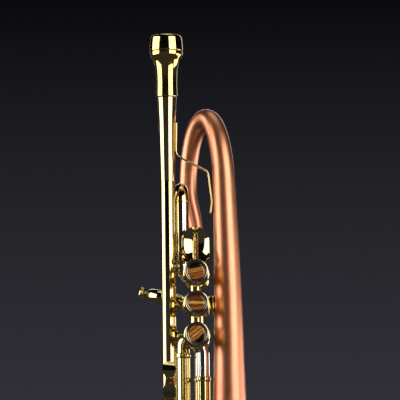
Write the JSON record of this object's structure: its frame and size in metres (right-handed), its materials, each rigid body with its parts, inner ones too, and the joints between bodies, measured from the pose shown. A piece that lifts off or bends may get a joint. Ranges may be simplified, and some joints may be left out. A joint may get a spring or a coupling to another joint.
{
  "type": "piston valve trumpet",
  "caption": "Piston-valve brass trumpet with a satin copper bell, polished brass tubing, stone-topped finger buttons, thumb saddle, pinky hook, pull slides and water key.",
  "frame": {"origin": "middle of the footprint, on the surface that the bell rim stands on", "axes": "+Z from the bell rim towards the mouthpiece, -Y towards the finger buttons, +X from the leadpipe to the bell"},
  "size_m": [0.1464, 0.1466, 0.5335],
  "materials": {
    "polished_brass": "polished and lacquered gold brass",
    "satin_copper": "satin brushed copper under clear lacquer",
    "nickel_silver": "polished nickel silver",
    "spring_steel": "drawn spring wire",
    "button_stone": "polished banded brown stone",
    "black_felt": "pressed wool felt",
    "cork": "natural cork"
  },
  "bodies": {
    "body": {"bell": "satin_copper", "bell_brace": "polished_brass", "bell_tail_ferrule": "polished_brass", "bottom_cap_1": "polished_brass", "bottom_cap_2": "polished_brass", "bottom_cap_3": "polished_brass", "casing_1": "polished_brass", "casing_2": "polished_brass", "casing_3": "polished_brass", "crossover_1_2": "polished_brass", "crossover_2_3": "polished_brass", "leadpipe": "polished_brass", "leadpipe_brace": "polished_brass", "pinky_hook": "polished_brass", "piston_spring_1": "spring_steel", "piston_spring_2": "spring_steel", "piston_spring_3": "spring_steel", "receiver": "polished_brass", "slide1_knuckle_front": "nickel_silver", "slide1_knuckle_rear": "nickel_silver", "slide2_outer_front": "polished_brass", "slide2_outer_rear": "polished_brass", "slide3_outer_front": "polished_brass", "slide3_outer_rear": "polished_brass", "stop_nut": "polished_brass", "stop_rod": "polished_brass", "top_cap_1": "polished_brass", "top_cap_2": "polished_brass", "top_cap_3": "polished_brass", "tuning_brace": "polished_brass", "tuning_outer_front": "polished_brass", "tuning_outer_rear": "polished_brass", "valve_guide_1": "polished_brass", "valve_guide_2": "polished_brass", "valve_guide_3": "polished_brass", "z_brace": "polished_brass"},
    "valve_1": {"piston_1": "nickel_silver", "stem_1": "polished_brass", "button_stone_1": "button_stone", "felt_1": "black_felt"},
    "valve_2": {"piston_2": "nickel_silver", "stem_2": "polished_brass", "button_stone_2": "button_stone", "felt_2": "black_felt"},
    "valve_3": {"piston_3": "nickel_silver", "stem_3": "polished_brass", "button_stone_3": "button_stone", "felt_3": "black_felt"},
    "first_slide": {"slide1_crook": "nickel_silver", "thumb_saddle": "polished_brass"},
    "second_slide": {"slide2_crook": "polished_brass", "slide2_knob": "polished_brass"},
    "third_slide": {"slide3_crook": "polished_brass", "finger_ring": "polished_brass"},
    "tuning_slide": {"tuning_crook": "polished_brass", "key_saddle": "nickel_silver"},
    "water_key": {"water_key": "nickel_silver", "key_cork": "cork"},
    "mouthpiece": {"mouthpiece": "polished_brass"}
  },
  "joints": [
    {"name": "valve_1_press", "type": "slide", "parent": "body", "child": "valve_1", "axis": [0, 1, 0], "range_m": [0, 0.0165], "stiffness_N_per_m": 90, "springref_m": -0.014, "deforming": ["piston_spring_1"]},
    {"name": "valve_2_press", "type": "slide", "parent": "body", "child": "valve_2", "axis": [0, 1, 0], "range_m": [0, 0.0165], "stiffness_N_per_m": 90, "springref_m": -0.014, "deforming": ["piston_spring_2"]},
    {"name": "valve_3_press", "type": "slide", "parent": "body", "child": "valve_3", "axis": [0, 1, 0], "range_m": [0, 0.0165], "stiffness_N_per_m": 90, "springref_m": -0.014, "deforming": ["piston_spring_3"]},
    {"name": "first_slide_pull", "type": "slide", "parent": "body", "child": "first_slide", "axis": [0, 0, 1], "range_m": [0, 0.018]},
    {"name": "second_slide_pull", "type": "slide", "parent": "body", "child": "second_slide", "axis": [-0.9659, 0, 0.2588], "range_m": [0, 0.012]},
    {"name": "third_slide_pull", "type": "slide", "parent": "body", "child": "third_slide", "axis": [0, 0, -1], "range_m": [0, 0.025]},
    {"name": "tuning_slide_pull", "type": "slide", "parent": "body", "child": "tuning_slide", "axis": [0, 0, -1], "range_m": [0, 0.02]},
    {"name": "water_key_press", "type": "hinge", "parent": "tuning_slide", "child": "water_key", "pos_m": [-0.02738, 0.04824, 0.14], "axis": [0.9667, -0.2558, 0], "range_deg": [0, 12], "stiffness_Nm_per_rad": 0.06, "springref_deg": -28.65},
    {"name": "mouthpiece_pull", "type": "slide", "parent": "body", "child": "mouthpiece", "axis": [0, 0, 1], "range_m": [0, 0.025]}
  ]
}
